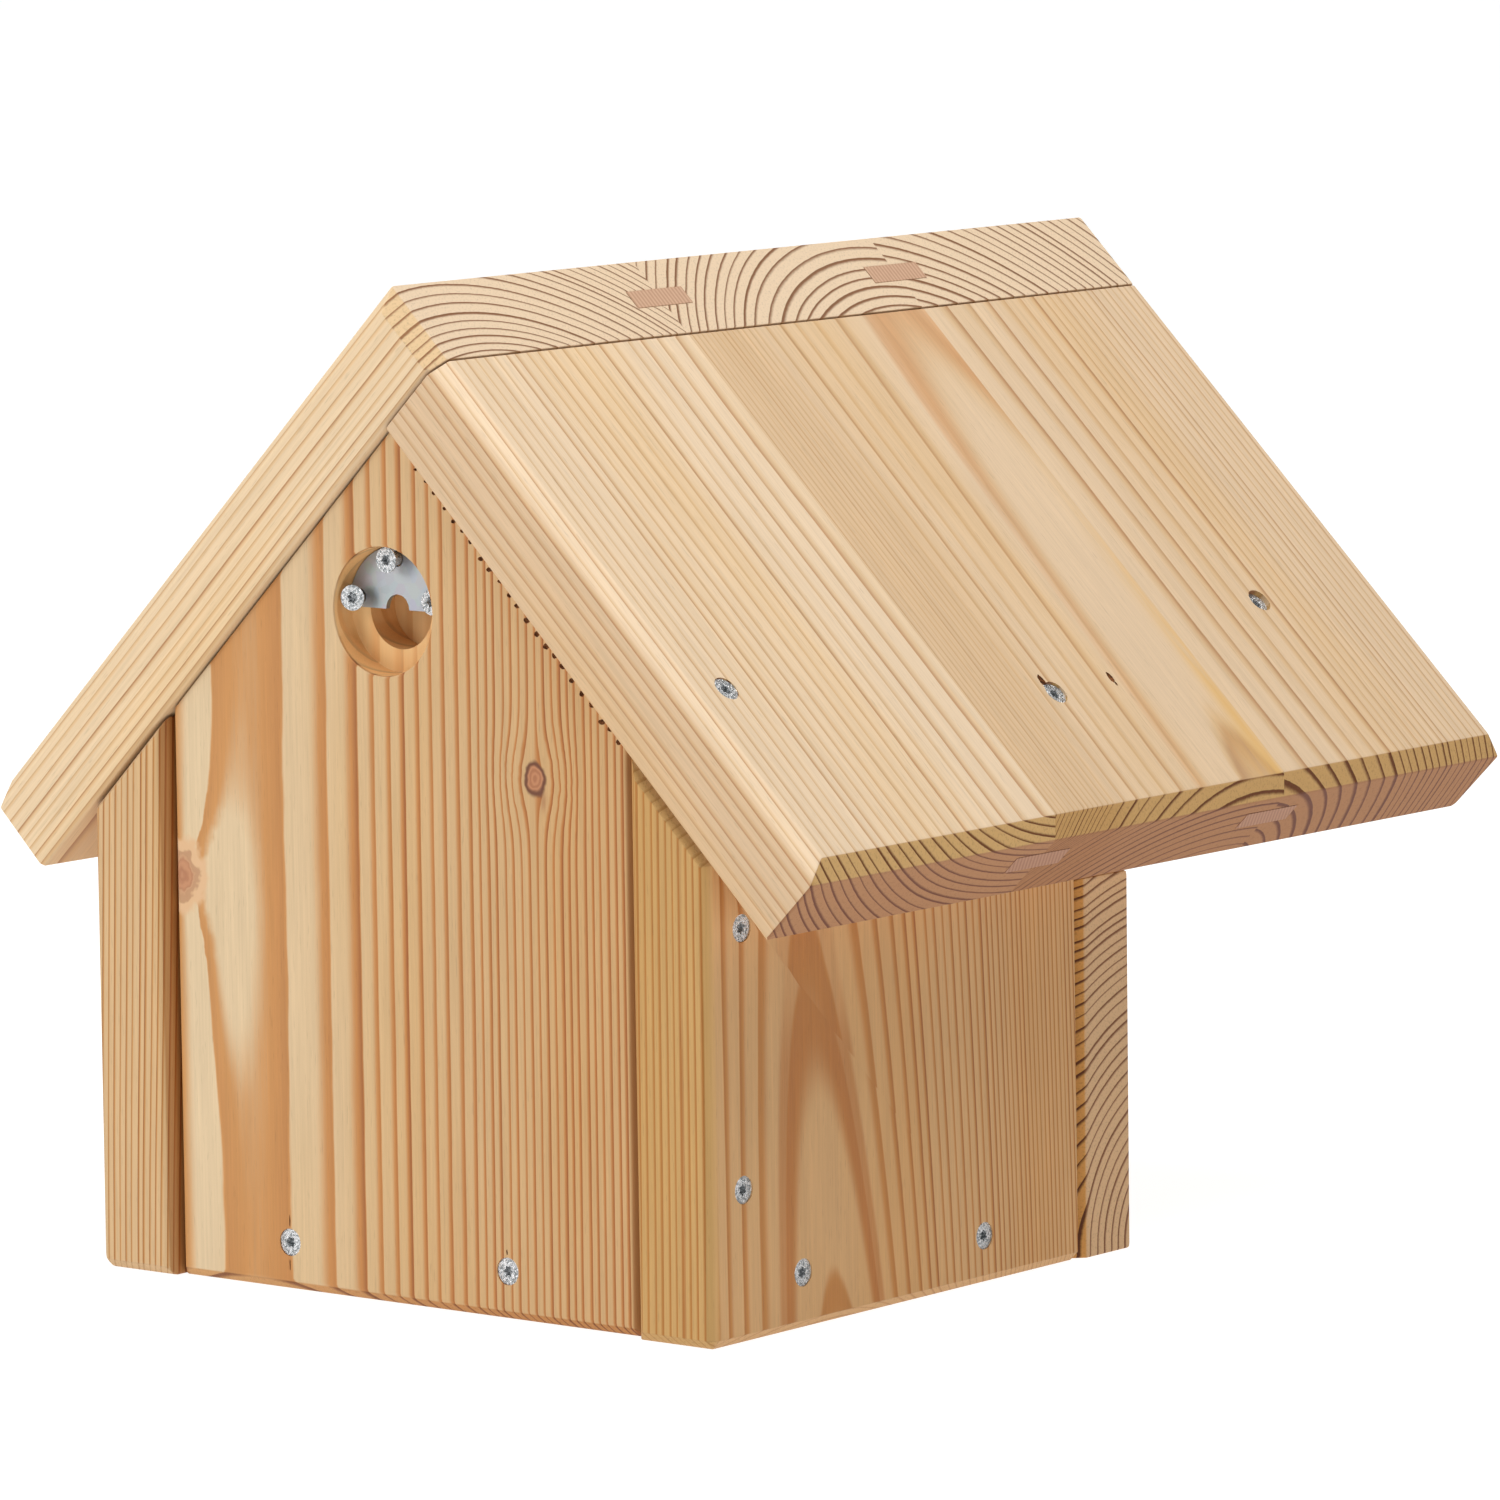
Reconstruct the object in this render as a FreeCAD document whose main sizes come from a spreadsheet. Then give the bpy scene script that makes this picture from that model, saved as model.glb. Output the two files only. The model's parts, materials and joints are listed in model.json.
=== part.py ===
import FreeCAD, Part
import math
import os
import Sketcher

# Open-fronted nest box of thick larch boards with a gable roof, in millimetres.
#
# Frame: +Z up, +Y from the wall side (rear) to the open front, origin under the middle of the
# roof on the surface that the box stands on. The boards are modelled with y counted from the
# rear edge of the roof, and each body's Placement moves it back by half the roof's length.
#
# The roof pitch is 45 degrees, so the right panel's square end lies flat under the left panel,
# which runs past it by one board thickness and makes the ridge.

SIZES = [
    ("board", 27.0, "thickness of every board"),
    ("body_width", 220.0, "across the outer faces of the side walls"),
    ("wall_depth", 162.0, "side wall, rear edge to front edge"),
    ("apex_height", 240.0, "where the two roof undersides meet"),
    ("rear_inset", 3.0, "rear wall set in from the side walls' rear edges"),
    ("front_height", 107.0, "low front board"),
    ("gable_front", 247.5, "rear face of the hanging front gable board"),
    ("gable_base", 112.0, "lower edge of the hanging front gable board"),
    ("roof_length", 321.0, "along the ridge"),
    ("right_slope", 182.0, "right panel, down the slope"),
    ("roof_chamfer", 5.0, "upper edges of the roof"),
    ("roof_relief", 1.2, "lower gable edges of the roof"),
    ("edge_chamfer", 2.6, "outer edges of the wall boards"),
    ("front_chamfer", 4.5, "rear vertical edges of the front board"),
    ("tongue_width", 24.0, "loose tongue across a stave joint"),
    ("tongue_thickness", 6.0, "loose tongue"),
    ("recess_x", -4.0, "hanger recess, off the centre line"),
    ("recess_height", 190.0, "hanger recess centre above the base"),
    ("recess_diameter", 35.0, "outer bore of the hanger recess"),
    ("recess_depth", 8.0, "outer bore, from the rear wall's rear face"),
    ("hook_diameter", 22.0, "inner blind bore for the wall screw's head"),
    ("hook_depth", 18.0, "inner blind bore, from the rear wall's rear face"),
    ("plate_diameter", 34.4, "half-disc hanger plate"),
    ("plate_thickness", 1.5, "half-disc hanger plate"),
    ("notch_diameter", 8.2, "half-round notch that rests on the wall screw"),
    ("plate_screw_ring", 27.6, "pitch circle of the plate's screws"),
    ("plate_hole", 4.4, "screw holes in the plate"),
    ("screw_length", 45.0, "board screw"),
    ("screw_head", 7.6, "board screw"),
    ("screw_shank", 4.0, "board screw"),
    ("hanger_screw_length", 16.0, "plate screw"),
    ("hanger_screw_head", 7.0, "plate screw"),
    ("hanger_screw_shank", 3.5, "plate screw"),
    ("head_rim", 0.5, "upright rim of a countersunk head"),
    ("drive_diameter", 2.4, "core of the six-lobe drive"),
    ("drive_lobe", 0.8, "each lobe of the six-lobe drive"),
    ("drive_depth", 1.6, "six-lobe drive"),
    ("bore_clearance", 0.2, "screw bore over the shank, on the diameter"),
    ("bore_mouth", 3.0, "open part of a screw bore above the head"),
    ("screw_sink", 0.4, "screw heads in the walls, below the wood's face"),
]

STAVES = 3
PLATE_SCREW_ANGLES = (12.0, 90.0, 168.0)
PLATE_SCREW_PROUD = (1.8, 4.5, 4.5)
PLATE_SCREW_TILT = (0.0, 0.0, 14.0)

# Screw seats. Those along the floor board sit at the middle of its thickness.
REAR_WALL_SEATS_ACROSS = (-41.5, 36.5)
FRONT_BOARD_SEATS_ACROSS = (-40.0, 40.0)
FRONT_BOARD_EDGE_SEATS_UP = (34.0, 84.0)
SIDE_WALL_SEATS = ((14.0, 111.5), (13.5, 41.5), (38.5, 15.5), (119.0, 13.5))  # from rear, up
ROOF_SEATS = ((17.0, 119.5, 0.4), (145.0, 138.0, 0.8), (261.0, 118.5, 1.6))  # from rear, down, sink

TOLERANCE = 1e-4

doc = FreeCAD.newDocument("nest_box")


def make_sheet():
    sheet = doc.addObject("Spreadsheet::Sheet", "Sizes")
    for row, (alias, value, note) in enumerate(SIZES, start=1):
        sheet.set(f"A{row}", alias)
        sheet.set(f"B{row}", str(value))
        sheet.set(f"C{row}", note)
        sheet.setAlias(f"B{row}", alias)
    doc.recompute()
    return sheet


sheet = make_sheet()


def size(alias):
    return float(sheet.get(alias))


def evaluate(expression):
    result = sheet.evalExpression(expression)
    return float(getattr(result, "Value", result))


# --- sketches, bodies and features -------------------------------------------------------------

def make_body(name):
    body = doc.addObject("PartDesign::Body", name)
    body.Label = name
    return body


def new_sketch(body, name, plane):
    sketch = body.newObject("Sketcher::SketchObject", name)
    support = [item for item in body.Origin.OriginFeatures if item.Role == plane][0]
    sketch.AttachmentSupport = [(support, "")]
    sketch.MapMode = "FlatFace"
    return sketch


def bind(sketch, kind, name, first, second, expression):
    """Adds one named distance that follows the sheet."""
    index = sketch.addConstraint(Sketcher.Constraint(kind, *first, *second, evaluate(expression)))
    sketch.renameConstraint(index, name)
    sketch.setExpression(f".Constraints.{name}", expression)


def outline_sketch(body, name, plane, corners):
    """A closed outline; each corner is a pair of expressions measured from the origin."""
    sketch = new_sketch(body, name, plane)
    points = [FreeCAD.Vector(evaluate(across), evaluate(up), 0) for across, up in corners]
    count = len(points)
    for index in range(count):
        sketch.addGeometry(Part.LineSegment(points[index], points[(index + 1) % count]), False)
    for index in range(count):
        sketch.addConstraint(Sketcher.Constraint("Coincident", index, 2, (index + 1) % count, 1))
    for index, (across, up) in enumerate(corners):
        bind(sketch, "DistanceX", f"across_{index}", (-1, 1), (index, 1), across)
        bind(sketch, "DistanceY", f"up_{index}", (-1, 1), (index, 1), up)
    return sketch


def circle_sketch(body, name, plane, across, up, diameter):
    sketch = new_sketch(body, name, plane)
    centre = FreeCAD.Vector(evaluate(across), evaluate(up), 0)
    radius = evaluate(diameter) / 2
    sketch.addGeometry(Part.Circle(centre, FreeCAD.Vector(0, 0, 1), radius), False)
    bind(sketch, "DistanceX", "across", (-1, 1), (0, 3), across)
    bind(sketch, "DistanceY", "up", (-1, 1), (0, 3), up)
    index = sketch.addConstraint(Sketcher.Constraint("Diameter", 0, radius * 2))
    sketch.renameConstraint(index, "diameter")
    sketch.setExpression(".Constraints.diameter", diameter)
    return sketch


def pad(body, sketch, length, offset="0", reverse=False):
    """Pads a sketch that first moves along its own normal by offset."""
    sketch.setExpression(".AttachmentOffset.Base.z", offset)
    feature = body.newObject("PartDesign::Pad", f"{body.Name}_pad")
    feature.Profile = sketch
    feature.setExpression("Length", length)
    feature.Reversed = reverse
    doc.recompute()
    return feature


def pocket(body, sketch, depth, offset, reverse):
    """Pockets a sketch and makes sure that it removed material."""
    before = body.Shape.Volume
    sketch.setExpression(".AttachmentOffset.Base.z", offset)
    feature = body.newObject("PartDesign::Pocket", f"{sketch.Name}_pocket")
    feature.Profile = sketch
    feature.setExpression("Length", depth)
    feature.Reversed = reverse
    doc.recompute()
    if body.Shape.Volume >= before - TOLERANCE:
        raise RuntimeError(f"{feature.Name} cuts nothing")
    return feature


def edges_at(shape, **places):
    """Names of the straight edges whose two ends have the given coordinates."""
    names = []
    for number, edge in enumerate(shape.Edges, start=1):
        ends = [vertex.Point for vertex in edge.Vertexes]
        fits = all(
            abs(getattr(end, axis) - value) < TOLERANCE
            for end in ends
            for axis, value in places.items()
        )
        if len(ends) == 2 and fits:
            names.append(f"Edge{number}")
    return names


def chamfer(body, width, *places):
    """Chamfers the edges of the body's tip found at each set of coordinates."""
    base = body.Tip
    names = []
    for place in places:
        found = edges_at(base.Shape, **place)
        if not found:
            raise RuntimeError(f"{body.Name} has no edge at {place}")
        names += [name for name in found if name not in names]
    feature = body.newObject("PartDesign::Chamfer", f"{body.Name}_chamfer")
    feature.Base = (base, names)
    feature.setExpression("Size", width)
    doc.recompute()
    return feature


def place_from_rear(item):
    """Moves a body from y counted from the roof's rear edge into the shared frame."""
    item.setExpression(".Placement.Base.y", "-Sizes.roof_length / 2")


# --- wall boards, y counted from the rear edge -------------------------------------------------

INNER = "(Sizes.body_width / 2 - Sizes.board)"
OUTER = "Sizes.body_width / 2"
EAVE_LINE = "(Sizes.apex_height - Sizes.body_width / 2)"
INNER_TOP = "(Sizes.apex_height - Sizes.body_width / 2 + Sizes.board)"


def side_wall(name, side):
    """side is 1 for the wall at +X and -1 for the wall at -X."""
    corners = [
        (f"{side} * {INNER}", "0"),
        (f"{side} * {OUTER}", "0"),
        (f"{side} * {OUTER}", EAVE_LINE),
        (f"{side} * {INNER}", INNER_TOP),
    ]
    body = make_body(f"{name}_blank")
    sketch = outline_sketch(body, f"{name}_outline", "XZ_Plane", corners)
    pad(body, sketch, "Sizes.wall_depth", reverse=True)
    outer = side * size("body_width") / 2
    chamfer(body, "Sizes.edge_chamfer", {"y": 0.0}, {"x": outer, "z": 0.0})
    place_from_rear(body)
    return body


def rear_wall():
    corners = [
        (f"-{INNER}", "0"),
        (INNER, "0"),
        (INNER, INNER_TOP),
        ("0", "Sizes.apex_height"),
        (f"-{INNER}", INNER_TOP),
    ]
    body = make_body("rear_wall_blank")
    face = "-Sizes.rear_inset"
    sketch = outline_sketch(body, "rear_wall_outline", "XZ_Plane", corners)
    pad(body, sketch, "Sizes.board", offset=face, reverse=True)
    inset = size("rear_inset")
    half = size("body_width") / 2 - size("board")
    chamfer(
        body, "Sizes.edge_chamfer",
        {"x": half, "y": inset}, {"x": -half, "y": inset}, {"y": inset, "z": 0.0},
    )
    bores = [("recess", "Sizes.recess_diameter", "Sizes.recess_depth"),
             ("hook_bore", "Sizes.hook_diameter", "Sizes.hook_depth")]
    for name, diameter, depth in bores:
        circle = circle_sketch(
            body, name, "XZ_Plane", "Sizes.recess_x", "Sizes.recess_height", diameter
        )
        pocket(body, circle, depth, face, reverse=False)
    place_from_rear(body)
    return body


def floor_board():
    """Lies between the side walls, from the rear wall to the front board."""
    box = doc.addObject("Part::Box", "floor_board_blank")
    box.setExpression("Length", f"2 * {INNER}")
    box.setExpression("Width", "Sizes.wall_depth - Sizes.rear_inset - Sizes.board")
    box.setExpression("Height", "Sizes.board")
    box.setExpression(".Placement.Base.x", f"-{INNER}")
    box.setExpression(
        ".Placement.Base.y", "Sizes.rear_inset + Sizes.board - Sizes.roof_length / 2"
    )
    return box


def front_board():
    """Low board across the side walls' front edges; the space above it stays open."""
    corners = [
        (f"-{OUTER}", "0"),
        (OUTER, "0"),
        (OUTER, "Sizes.front_height"),
        (f"-{OUTER}", "Sizes.front_height"),
    ]
    body = make_body("front_board_blank")
    sketch = outline_sketch(body, "front_board_outline", "XZ_Plane", corners)
    pad(body, sketch, "Sizes.board", offset="-Sizes.wall_depth", reverse=True)
    rear = size("wall_depth")
    front = rear + size("board")
    half = size("body_width") / 2
    chamfer(body, "Sizes.edge_chamfer", {"y": front}, {"y": rear, "z": size("front_height")})
    chamfer(body, "Sizes.front_chamfer", {"x": half, "y": rear}, {"x": -half, "y": rear})
    place_from_rear(body)
    return body


def front_gable_board():
    """Hangs under the roof in front of the opening and leaves a gap behind it."""
    corners = [
        (f"-{OUTER}", "Sizes.gable_base"),
        (OUTER, "Sizes.gable_base"),
        (OUTER, EAVE_LINE),
        ("0", "Sizes.apex_height"),
        (f"-{OUTER}", EAVE_LINE),
    ]
    body = make_body("front_gable_board_blank")
    sketch = outline_sketch(body, "front_gable_outline", "XZ_Plane", corners)
    pad(body, sketch, "Sizes.board", offset="-Sizes.gable_front", reverse=True)
    rear = size("gable_front")
    front = rear + size("board")
    half = size("body_width") / 2
    base = size("gable_base")
    chamfer(
        body, "Sizes.edge_chamfer",
        {"y": front, "z": base}, {"y": rear, "z": base}, {"x": half, "y": front},
        {"x": -half, "y": front},
    )
    place_from_rear(body)
    return body


# --- roof panels: local x down the slope, local y along the ridge, z through the thickness -----

LEFT_SLOPE = "(Sizes.right_slope + Sizes.board)"
STAVE = f"(Sizes.roof_length / {STAVES})"
GROOVE = "(Sizes.tongue_width / 2)"
GROOVE_TOP = "((Sizes.board - Sizes.tongue_thickness) / 2)"
GROOVE_BASE = "((Sizes.board + Sizes.tongue_thickness) / 2)"


def place_on_slope(item, side, along="0", depth="0"):
    """Tilts a roof piece and sets it along the ridge, depth below the panel's upper face.

    side is 1 for the right panel and -1 for the left one, whose local z points into the wood.
    """
    angle = 45.0 if side > 0 else 135.0
    item.Placement.Rotation = FreeCAD.Rotation(FreeCAD.Vector(0, 1, 0), angle)
    across = f"(Sizes.board - {depth})" if side > 0 else depth
    below_ridge = f"Sizes.board - {depth}" if side > 0 else f"2 * Sizes.board - {depth}"
    item.setExpression(".Placement.Base.x", f"{across} / sqrt(2)")
    item.setExpression(".Placement.Base.y", f"{along} - Sizes.roof_length / 2")
    item.setExpression(".Placement.Base.z", f"Sizes.apex_height + ({below_ridge}) / sqrt(2)")


def grooved_edge(place, inward):
    """Corners of a joint edge from the upper face down, with the groove for the tongue."""
    bottom = f"{place} + {inward} * {GROOVE}"
    return [(place, "0"), (place, GROOVE_TOP), (bottom, GROOVE_TOP), (bottom, GROOVE_BASE),
            (place, GROOVE_BASE), (place, "Sizes.board")]


def gable_edge(place, inward):
    """Corners of a gable edge from the upper face down, with its two chamfers."""
    upper = "Sizes.roof_chamfer"
    lower = "Sizes.roof_relief"
    return [(f"{place} + {inward} * {upper}", "0"), (place, upper),
            (place, f"Sizes.board - {lower}"), (f"{place} + {inward} * {lower}", "Sizes.board")]


def roof_stave(name, side, number):
    """One stave; depth is counted from the upper face, which is +z or -z by side."""
    start = f"{number} * {STAVE}"
    stop = f"{number + 1} * {STAVE}"
    left = gable_edge(start, 1) if number == 0 else grooved_edge(start, 1)
    right = gable_edge(stop, -1) if number == STAVES - 1 else grooved_edge(stop, -1)
    corners = [(across, f"{-side} * ({depth})") for across, depth in left + right[::-1]]
    slope = "Sizes.right_slope" if side > 0 else LEFT_SLOPE
    body = make_body(f"{name}_blank")
    sketch = outline_sketch(body, f"{name}_section", "YZ_Plane", corners)
    pad(body, sketch, slope)
    chamfer(body, "Sizes.roof_chamfer", {"x": evaluate(slope), "z": 0.0})
    ridge_corner = {0: 0.0, STAVES - 1: size("roof_length")}
    if side < 0 and number in ridge_corner:
        chamfer(body, "Sizes.roof_chamfer", {"x": 0.0, "y": ridge_corner[number]})
    place_on_slope(body, side)
    return body


def roof_tongue(name, side, number):
    """Loose tongue in the grooves of two neighbouring staves."""
    box = doc.addObject("Part::Box", name)
    box.Label = name
    box.setExpression("Length", "Sizes.right_slope" if side > 0 else LEFT_SLOPE)
    box.setExpression("Width", "Sizes.tongue_width")
    box.setExpression("Height", "Sizes.tongue_thickness")
    # The box grows along its own +Z, which points out of the right panel and into the left one.
    depth = GROOVE_BASE if side > 0 else GROOVE_TOP
    along = f"{number} * {STAVE} - {GROOVE}"
    place_on_slope(box, side, along, depth)
    return box


# --- hanger plate and screws -------------------------------------------------------------------

def ring_point(angle):
    """Place of a plate screw, measured from the recess centre."""
    radius = size("plate_screw_ring") / 2
    return radius * math.cos(math.radians(angle)), radius * math.sin(math.radians(angle))


def hanger_plate():
    """Upper half of a disc on the recess ledge, with a notch in its straight lower edge."""
    body = make_body("hanger_plate")
    centre = ("Sizes.recess_x", "Sizes.recess_height")
    back = "-(Sizes.rear_inset + Sizes.recess_depth - Sizes.plate_thickness)"
    disc = circle_sketch(body, "plate_disc", "XZ_Plane", *centre, "Sizes.plate_diameter")
    pad(body, disc, "Sizes.plate_thickness", offset=back, reverse=True)
    below = "Sizes.recess_height - Sizes.plate_diameter"
    lower_half = [
        ("Sizes.recess_x - Sizes.plate_diameter", "Sizes.recess_height"),
        ("Sizes.recess_x - Sizes.plate_diameter", below),
        ("Sizes.recess_x + Sizes.plate_diameter", below),
        ("Sizes.recess_x + Sizes.plate_diameter", "Sizes.recess_height"),
    ]
    cut = outline_sketch(body, "plate_lower_half", "XZ_Plane", lower_half)
    pocket(body, cut, "Sizes.plate_thickness", back, reverse=False)
    notch = circle_sketch(body, "plate_notch", "XZ_Plane", *centre, "Sizes.notch_diameter")
    pocket(body, notch, "Sizes.plate_thickness", back, reverse=False)
    for number, angle in enumerate(PLATE_SCREW_ANGLES):
        across = f"Sizes.recess_x + Sizes.plate_screw_ring / 2 * cos({angle})"
        up = f"Sizes.recess_height + Sizes.plate_screw_ring / 2 * sin({angle})"
        hole = circle_sketch(body, f"plate_hole_{number}", "XZ_Plane", across, up,
                             "Sizes.plate_hole")
        pocket(body, hole, "Sizes.plate_thickness", back, reverse=False)
    place_from_rear(body)
    return body


def revolve(body, sketch):
    feature = body.newObject("PartDesign::Revolution", f"{body.Name}_revolution")
    feature.Profile = sketch
    feature.ReferenceAxis = (sketch, ["V_Axis"])
    feature.Angle = 360.0
    doc.recompute()
    return feature


def wood_screw(name, length, head, shank):
    """Countersunk screw, head top at the origin, pointing to -Z, with a six-lobe drive."""
    cone = f"(({head} - {shank}) / 2)"
    corners = [
        ("0", "0"),
        (f"{head} / 2", "0"),
        (f"{head} / 2", "-Sizes.head_rim"),
        (f"{shank} / 2", f"-Sizes.head_rim - {cone}"),
        (f"{shank} / 2", f"-{length} + {shank}"),
        ("0", f"-{length}"),
    ]
    body = make_body(name)
    revolve(body, outline_sketch(body, f"{name}_profile", "XZ_Plane", corners))
    core = circle_sketch(body, f"{name}_drive", "XY_Plane", "0", "0", "Sizes.drive_diameter")
    pocket(body, core, "Sizes.drive_depth", "0", reverse=False)
    lobe = circle_sketch(
        body, f"{name}_lobe", "XY_Plane", "Sizes.drive_diameter / 2", "0", "Sizes.drive_lobe"
    )
    lobe_pocket = pocket(body, lobe, "Sizes.drive_depth", "0", reverse=False)
    lobes = body.newObject("PartDesign::PolarPattern", f"{name}_lobes")
    lobes.Originals = [lobe_pocket]
    lobes.Axis = (lobe, ["N_Axis"])
    lobes.Angle = 360.0
    lobes.Occurrences = 6
    body.Tip = lobes
    doc.recompute()
    return body


def screw_bore(name, length, head, shank):
    """Tool for a screw's countersunk hole: open above the head, and a little longer."""
    cone = f"(({head} - {shank} - Sizes.bore_clearance) / 2)"
    wide = f"({shank} + Sizes.bore_clearance) / 2"
    corners = [
        ("0", "Sizes.bore_mouth"),
        (f"{head} / 2", "Sizes.bore_mouth"),
        (f"{head} / 2", "-Sizes.head_rim"),
        (wide, f"-Sizes.head_rim - {cone}"),
        (wide, f"-{length} + {shank}"),
        ("0", f"-{length} - Sizes.bore_clearance"),
    ]
    body = make_body(name)
    revolve(body, outline_sketch(body, f"{name}_profile", "XZ_Plane", corners))
    return body


def aim(point, outward, sink):
    """Placement that seats a screw's head sink below point, facing outward."""
    direction = FreeCAD.Vector(*outward).normalize()
    turn = FreeCAD.Rotation(FreeCAD.Vector(0, 0, 1), direction)
    return FreeCAD.Placement(FreeCAD.Vector(*point) - direction * sink, turn)


def copies(name, template, places):
    """A group of separate copies of one body."""
    links = []
    for number, place in enumerate(places):
        link = doc.addObject("App::Link", f"{name}_{number}")
        link.LinkedObject = template
        link.Placement = place
        links.append(link)
    group = doc.addObject("Part::Compound", name)
    group.Label = name
    group.Links = links
    return group


def screw_places():
    """Seats of every board screw, by node, in the shared frame."""
    rear = -size("roof_length") / 2
    half = size("body_width") / 2
    inset = rear + size("rear_inset")
    floor_row = size("board") / 2
    front_face = rear + size("wall_depth") + size("board")
    edge_row = half - size("board") / 2
    sink = size("screw_sink")
    front_seats = [(across, floor_row) for across in FRONT_BOARD_SEATS_ACROSS]
    front_seats += [
        (across, up) for across in (-edge_row, edge_row) for up in FRONT_BOARD_EDGE_SEATS_UP
    ]
    places = {
        "rear_wall_screws": [
            aim((across, inset, floor_row), (0, -1, 0), sink) for across in REAR_WALL_SEATS_ACROSS
        ],
        "front_board_screws": [
            aim((across, front_face, up), (0, 1, 0), sink) for across, up in front_seats
        ],
    }
    ridge_top = size("apex_height") + size("board") / math.sqrt(2)
    for name, side in (("left", -1), ("right", 1)):
        places[f"side_wall_screws_{name}"] = [
            aim((side * half, rear + along, up), (side, 0, 0), sink)
            for along, up in SIDE_WALL_SEATS
        ]
        places[f"roof_screws_{name}"] = [
            aim(
                (
                    side * (size("board") + down) / math.sqrt(2),
                    rear + along,
                    ridge_top - down / math.sqrt(2),
                ),
                (side, 0, 1),
                roof_sink,
            )
            for along, down, roof_sink in ROOF_SEATS
        ]
    return places


def hanger_screw_places():
    """Seats of the plate's screws: heads stand proud of the plate, the left one leans."""
    face = -size("roof_length") / 2 + size("rear_inset") + size("recess_depth")
    plate = face - size("plate_thickness")
    places = []
    for angle, proud, tilt in zip(PLATE_SCREW_ANGLES, PLATE_SCREW_PROUD, PLATE_SCREW_TILT):
        across, up = ring_point(angle)
        point = (size("recess_x") + across, plate, size("recess_height") + up)
        lean = math.tan(math.radians(tilt))
        places.append(aim(point, (lean, -1, 0), -proud))
    return places


def drilled(name, blank, bores):
    """The board with its screw holes."""
    cut = doc.addObject("Part::Cut", name)
    cut.Label = name
    cut.Base = blank
    cut.Tool = bores
    return cut


# --- assembly ----------------------------------------------------------------------------------

def build():
    """Makes every sub-part and returns them in order."""
    walls = {
        "side_wall_left": side_wall("side_wall_left", -1),
        "side_wall_right": side_wall("side_wall_right", 1),
        "rear_wall": rear_wall(),
        "floor_board": floor_board(),
        "front_board": front_board(),
        "front_gable_board": front_gable_board(),
    }
    staves = {}
    parts = []
    for name, side in (("left", -1), ("right", 1)):
        for number in range(STAVES):
            node = f"roof_{name}_stave_{number + 1}"
            staves[node] = roof_stave(node, side, number)
        for number in range(1, STAVES):
            parts.append(roof_tongue(f"roof_{name}_tongue_{number}", side, number))
    parts.append(hanger_plate())

    board = ("Sizes.screw_length", "Sizes.screw_head", "Sizes.screw_shank")
    small = ("Sizes.hanger_screw_length", "Sizes.hanger_screw_head", "Sizes.hanger_screw_shank")
    board_screw = wood_screw("board_screw", *board)
    plate_screw = wood_screw("plate_screw", *small)
    board_bore = screw_bore("board_screw_bore", *board)
    plate_bore = screw_bore("plate_screw_bore", *small)

    places = screw_places()
    seats = [place for group in places.values() for place in group]
    for name, group in places.items():
        parts.append(copies(name, board_screw, group))
    parts.append(copies("hanger_screws", plate_screw, hanger_screw_places()))
    bores = copies("board_screw_bores", board_bore, seats)
    hanger_bores = copies("hanger_screw_bores", plate_bore, hanger_screw_places())
    doc.recompute()

    every_bore = doc.addObject("Part::Compound", "rear_wall_bores")
    every_bore.Links = [bores, hanger_bores]
    for name, blank in {**walls, **staves}.items():
        parts.append(drilled(name, blank, every_bore if name == "rear_wall" else bores))
    doc.recompute()
    return parts


def check_and_export(parts):
    for item in doc.Objects:
        if "Invalid" in item.State or "Error" in item.State:
            raise RuntimeError(f"{item.Name}: {item.State}")
    for part in parts:
        if part.Shape.isNull() or not part.Shape.isValid():
            raise RuntimeError(f"{part.Label} has no valid shape")
    os.makedirs("parts", exist_ok=True)
    for part in parts:
        part.Shape.exportStep(f"parts/{part.Label}.step")
        box = part.Shape.BoundBox
        print(f"{part.Label:24} solids {len(part.Shape.Solids)}  volume {part.Shape.Volume:10.0f}  "
              f"x {box.XMin:.1f}..{box.XMax:.1f}  y {box.YMin:.1f}..{box.YMax:.1f}  "
              f"z {box.ZMin:.1f}..{box.ZMax:.1f}")


check_and_export(build())
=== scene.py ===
"""Looks of the open-fronted larch nest box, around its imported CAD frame. Lengths are in metres.

Every board is a solid of growth rings: a ring's radius is measured from a pith line that the board
was sawn beside, so the grain on a face, on an edge and on an end all belong to the same tree.
"""
import json
import math
import random

import bmesh
import bpy
from mathutils import Matrix, Vector


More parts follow.
